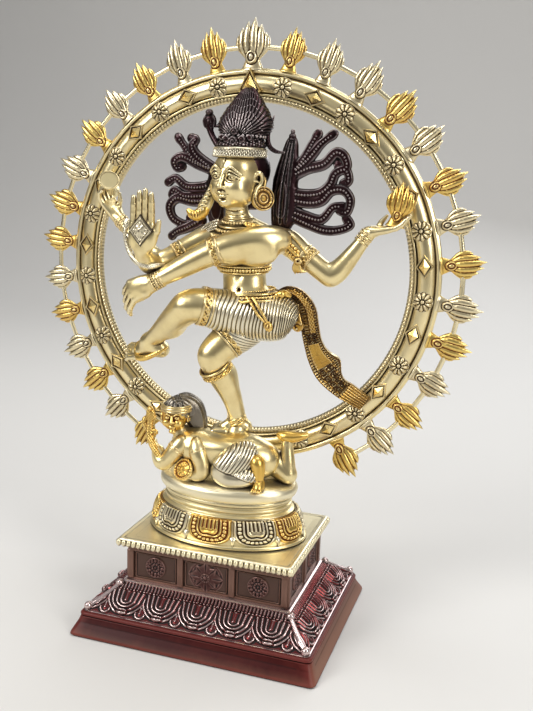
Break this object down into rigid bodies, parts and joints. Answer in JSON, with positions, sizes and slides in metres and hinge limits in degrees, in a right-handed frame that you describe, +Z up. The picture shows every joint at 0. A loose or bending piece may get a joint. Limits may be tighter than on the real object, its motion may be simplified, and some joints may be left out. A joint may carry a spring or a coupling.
{
  "type": "dancing figure statue",
  "caption": "Cast brass dancing figure inside a ring of flames, standing on a lotus pedestal and a stepped, lacquered plinth.",
  "frame": {"origin": "centre of the plinth's underside", "axes": "+X to the right seen from the front, front at -Y, +Z up"},
  "size_m": [0.4108, 0.18, 0.515],
  "materials": {
    "oxblood_slab": "deep oxblood lacquer with a satin gloss, rubbed to pinkish brown on edges and corners",
    "oxblood_relief": "dark oxblood lacquer over cast relief, bright metal showing on the raised edges",
    "taupe_panel": "brown-grey patina over cast relief, nearly black in the recesses",
    "pale_brass": "pale polished brass with brown patina in the recesses",
    "silvered_brass": "whitish brass with black rubbed into the incised lines",
    "gilt_brass": "golden lacquer over brass, reddish brown in the recesses",
    "dark_bronze": "near-black burgundy patina with silvery worn highlights",
    "plain_steel": "plain steel, hidden"
  },
  "bodies": {
    "root": {"base_slab": "oxblood_slab", "lotus_skirt": "oxblood_relief", "skirt_petals": "oxblood_relief", "dado_box": "taupe_panel", "dado_pilasters": "taupe_panel", "dado_rosettes": "taupe_panel", "cornice_plate": "pale_brass", "cornice_bead": "pale_brass", "bottom_plate": "plain_steel", "bottom_screws": "plain_steel", "tie_rod": "plain_steel", "tie_washer": "plain_steel", "tie_nut": "plain_steel", "lotus_drum": "pale_brass", "drum_petals_gilt": "gilt_brass", "drum_petals_plain": "silvered_brass", "pedestal_disc": "pale_brass", "ring_band": "pale_brass", "ring_rope_edge": "pale_brass", "ring_hoop": "pale_brass", "flames_gilt": "gilt_brass", "flames_plain": "silvered_brass", "crest_flame": "silvered_brass", "ring_diamonds": "gilt_brass", "ring_flowers": "silvered_brass", "ring_bracket": "pale_brass", "ring_bolts": "plain_steel", "dwarf_body": "pale_brass", "dwarf_head": "gilt_brass", "dwarf_hair": "dark_bronze", "dwarf_left_arm": "pale_brass", "dwarf_right_arm": "pale_brass", "dwarf_snake": "gilt_brass", "dwarf_hand_disc": "gilt_brass", "dwarf_near_leg": "pale_brass", "dwarf_far_leg": "pale_brass", "torso": "pale_brass", "head": "pale_brass", "crown": "dark_bronze", "crown_band": "pale_brass", "crown_cobra": "dark_bronze", "crown_crescent": "dark_bronze", "hair_fan_left": "dark_bronze", "hair_fan_right": "dark_bronze", "earring_disc": "gilt_brass", "earring_long": "gilt_brass", "necklace": "gilt_brass", "chest_band": "gilt_brass", "crossing_arm": "pale_brass", "flame_arm": "pale_brass", "blessing_arm": "pale_brass", "drum_arm": "pale_brass", "hand_flame": "gilt_brass", "hand_drum": "pale_brass", "bangles": "gilt_brass", "dhoti": "silvered_brass", "waist_belt": "gilt_brass", "raised_leg": "pale_brass", "standing_leg": "pale_brass", "sash": "gilt_brass"}
  },
  "joints": []
}
